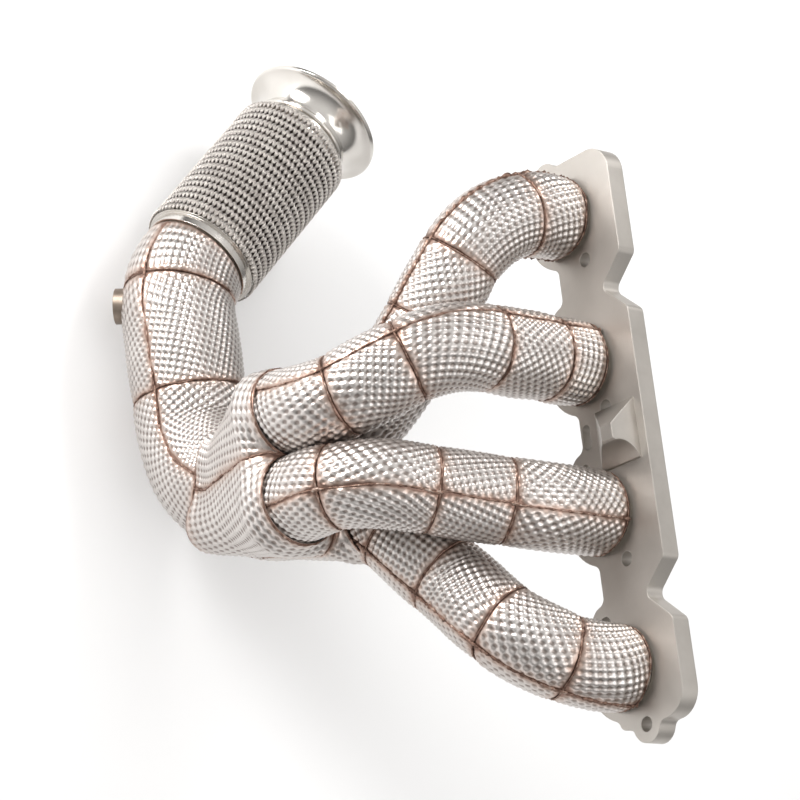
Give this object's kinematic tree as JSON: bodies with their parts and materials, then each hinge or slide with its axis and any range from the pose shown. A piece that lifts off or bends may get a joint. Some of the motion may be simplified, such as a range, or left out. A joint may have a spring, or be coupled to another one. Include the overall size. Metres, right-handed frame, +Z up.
{
  "type": "exhaust manifold",
  "caption": "Tubular exhaust manifold with a flat head flange, foil-wrapped runner tubes into a collector, an elbowed outlet, a braided flex joint and a V-band flange.",
  "frame": {"origin": "on the mating face of the head flange, midway between ports 2 and 3, level with the port centres", "axes": "+X along the port row towards the outlet, +Y away from the cylinder head, +Z up, with the collector below the ports"},
  "size_m": [0.481, 0.1867, 0.2875],
  "materials": {
    "flange_steel": "satin",
    "embossed_foil": "bright embossed",
    "insulation": "matt fibre",
    "tube_steel": "satin",
    "braid_wire": "woven wire",
    "polished_steel": "polished",
    "boss_steel": "machined"
  },
  "bodies": {
    "manifold": {"collector": "tube_steel", "collector_foil": "embossed_foil", "collector_mat": "insulation", "flex_bellows": "tube_steel", "flex_braid": "braid_wire", "flex_front_collar": "polished_steel", "head_flange": "flange_steel", "liner_front_sleeve": "tube_steel", "outlet_foil_a": "embossed_foil", "outlet_foil_b": "embossed_foil", "outlet_foil_c": "embossed_foil", "outlet_mat": "insulation", "outlet_pipe": "tube_steel", "runner_foil_1a": "embossed_foil", "runner_foil_1b": "embossed_foil", "runner_foil_1c": "embossed_foil", "runner_foil_1d": "embossed_foil", "runner_foil_2a": "embossed_foil", "runner_foil_2b": "embossed_foil", "runner_foil_2c": "embossed_foil", "runner_foil_2d": "embossed_foil", "runner_foil_2e": "embossed_foil", "runner_foil_3a": "embossed_foil", "runner_foil_3b": "embossed_foil", "runner_foil_3c": "embossed_foil", "runner_foil_3d": "embossed_foil", "runner_foil_4a": "embossed_foil", "runner_foil_4b": "embossed_foil", "runner_foil_4c": "embossed_foil", "runner_foil_4d": "embossed_foil", "runner_foil_4e": "embossed_foil", "runner_mat_1": "insulation", "runner_mat_2": "insulation", "runner_mat_3": "insulation", "runner_mat_4": "insulation", "runner_tube_1": "tube_steel", "runner_tube_2": "tube_steel", "runner_tube_3": "tube_steel", "runner_tube_4": "tube_steel", "sensor_boss": "boss_steel", "support_lug": "flange_steel"},
    "flex_slider": {"liner_hoop_front": "tube_steel"},
    "flex_knuckle": {"liner_hoop_rear": "tube_steel"},
    "outlet": {"flex_rear_collar": "polished_steel", "liner_rear_sleeve": "tube_steel", "outlet_stub": "polished_steel", "vband_flange": "polished_steel"}
  },
  "joints": [
    {"name": "flex_axial", "type": "slide", "parent": "manifold", "child": "flex_slider", "axis": [0.7477, -0.6504, 0.1337], "range_m": [-0.008, 0.004], "stiffness_N_per_m": 9000, "deforming": ["flex_braid", "flex_bellows"]},
    {"name": "flex_bend_side", "type": "hinge", "parent": "flex_slider", "child": "flex_knuckle", "pos_m": [0.20919, 0.08764, -0.20023], "axis": [-0.1009, 0.0878, 0.991], "range_deg": [-8, 8], "stiffness_Nm_per_rad": 6},
    {"name": "flex_bend_lift", "type": "hinge", "parent": "flex_knuckle", "child": "outlet", "pos_m": [0.23088, 0.06877, -0.19636], "axis": [-0.6563, -0.7545, 0], "range_deg": [-8, 8], "stiffness_Nm_per_rad": 6}
  ]
}
